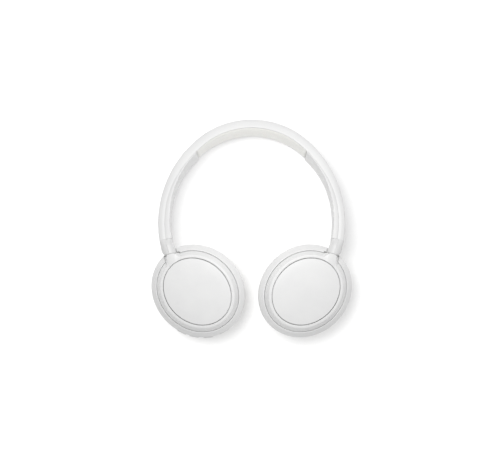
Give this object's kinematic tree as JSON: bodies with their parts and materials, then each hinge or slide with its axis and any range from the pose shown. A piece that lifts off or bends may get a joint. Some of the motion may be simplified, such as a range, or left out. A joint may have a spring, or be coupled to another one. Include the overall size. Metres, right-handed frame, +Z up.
{
  "type": "over ear headphones",
  "caption": "Wireless headphones lying flat: curved headband with inset cushion, sliding arms and oval swivelling cups with soft pads.",
  "frame": {"origin": "middle of the footprint, on the table that the pads lie on", "axes": "+Z up from the table, +Y towards the crown of the headband, +X towards the wearer's left ear"},
  "size_m": [0.1746, 0.1892, 0.0336],
  "materials": {
    "white_plastic": "satin white moulding, very fine texture",
    "inner_plastic": "plain inner moulding",
    "soft_cover": "soft off-white synthetic leather over foam",
    "steel": "plain spring and bearing steel",
    "dark_plastic": "black inner parts",
    "circuit_board": "green solder resist",
    "speaker_cloth": "fine black knitted cloth"
  },
  "bodies": {
    "headband": {"headband_shell": "white_plastic", "headband_cushion": "soft_cover", "cushion_carrier": "inner_plastic", "spring_band": "steel", "headband_cable": "dark_plastic", "inner_trim_right": "white_plastic", "slider_guide_right": "inner_plastic", "detent_spring_right": "steel", "inner_trim_left": "white_plastic", "slider_guide_left": "inner_plastic", "detent_spring_left": "steel"},
    "right_arm": {"slider_rail_right": "steel", "arm_outer_cover_right": "white_plastic", "arm_inner_cover_right": "white_plastic"},
    "right_hanger": {"cup_hanger_right": "white_plastic", "outer_disc_right": "white_plastic", "swivel_pin_right": "steel"},
    "right_cup": {"baffle_right": "inner_plastic", "baffle_screw_1_right": "steel", "baffle_screw_2_right": "steel", "diaphragm_right": "dark_plastic", "driver_frame_right": "dark_plastic", "driver_magnet_right": "steel", "ear_housing_right": "white_plastic", "ear_pad_right": "soft_cover", "pad_ring_right": "inner_plastic", "speaker_cloth_right": "speaker_cloth", "tilt_pin_front_right": "steel", "tilt_pin_rear_right": "steel", "main_board": "circuit_board", "button_board": "circuit_board", "charging_socket": "steel", "status_light": "dark_plastic", "microphone": "dark_plastic"},
    "left_arm": {"slider_rail_left": "steel", "arm_outer_cover_left": "white_plastic", "arm_inner_cover_left": "white_plastic"},
    "left_hanger": {"cup_hanger_left": "white_plastic", "outer_disc_left": "white_plastic", "swivel_pin_left": "steel"},
    "left_cup": {"baffle_left": "inner_plastic", "baffle_screw_1_left": "steel", "baffle_screw_2_left": "steel", "diaphragm_left": "dark_plastic", "driver_frame_left": "dark_plastic", "driver_magnet_left": "steel", "ear_housing_left": "white_plastic", "ear_pad_left": "soft_cover", "pad_ring_left": "inner_plastic", "speaker_cloth_left": "speaker_cloth", "tilt_pin_front_left": "steel", "tilt_pin_rear_left": "steel", "battery_tray": "inner_plastic", "battery": "dark_plastic"},
    "volume_down_button": {"volume_down_button": "white_plastic"},
    "power_button": {"power_button": "white_plastic"},
    "volume_up_button": {"volume_up_button": "white_plastic"}
  },
  "joints": [
    {"name": "right_size_slide", "type": "slide", "parent": "headband", "child": "right_arm", "axis": [0, -0.9923, 0.1236], "range_m": [0, 0.028]},
    {"name": "right_swivel", "type": "hinge", "parent": "right_arm", "child": "right_hanger", "pos_m": [-0.07001, -0.02189, 0.02791], "axis": [0.3173, -0.9411, 0.1172], "range_deg": [0, 95]},
    {"name": "right_tilt", "type": "hinge", "parent": "right_hanger", "child": "right_cup", "pos_m": [-0.0464, -0.05326, 0.025], "axis": [-0.9476, -0.3195, 0], "range_deg": [-4, 4]},
    {"name": "left_size_slide", "type": "slide", "parent": "headband", "child": "left_arm", "axis": [0, -0.9923, 0.1236], "range_m": [0, 0.028]},
    {"name": "left_swivel", "type": "hinge", "parent": "left_arm", "child": "left_hanger", "pos_m": [0.07001, -0.02189, 0.02791], "axis": [0.3173, 0.9411, -0.1172], "range_deg": [0, 95]},
    {"name": "left_tilt", "type": "hinge", "parent": "left_hanger", "child": "left_cup", "pos_m": [0.0464, -0.05326, 0.025], "axis": [-0.9476, 0.3195, 0], "range_deg": [-4, 4]},
    {"name": "volume_down_button_press", "type": "slide", "parent": "right_cup", "child": "volume_down_button", "axis": [0.4343, 0.9008, 0], "range_m": [0, 0.0005], "stiffness_N_per_m": 1500, "springref_m": -0.0005},
    {"name": "power_button_press", "type": "slide", "parent": "right_cup", "child": "power_button", "axis": [0.1973, 0.9803, 0], "range_m": [0, 0.0005], "stiffness_N_per_m": 1500, "springref_m": -0.0005},
    {"name": "volume_up_button_press", "type": "slide", "parent": "right_cup", "child": "volume_up_button", "axis": [-0.1014, 0.9948, 0], "range_m": [0, 0.0005], "stiffness_N_per_m": 1500, "springref_m": -0.0005}
  ]
}
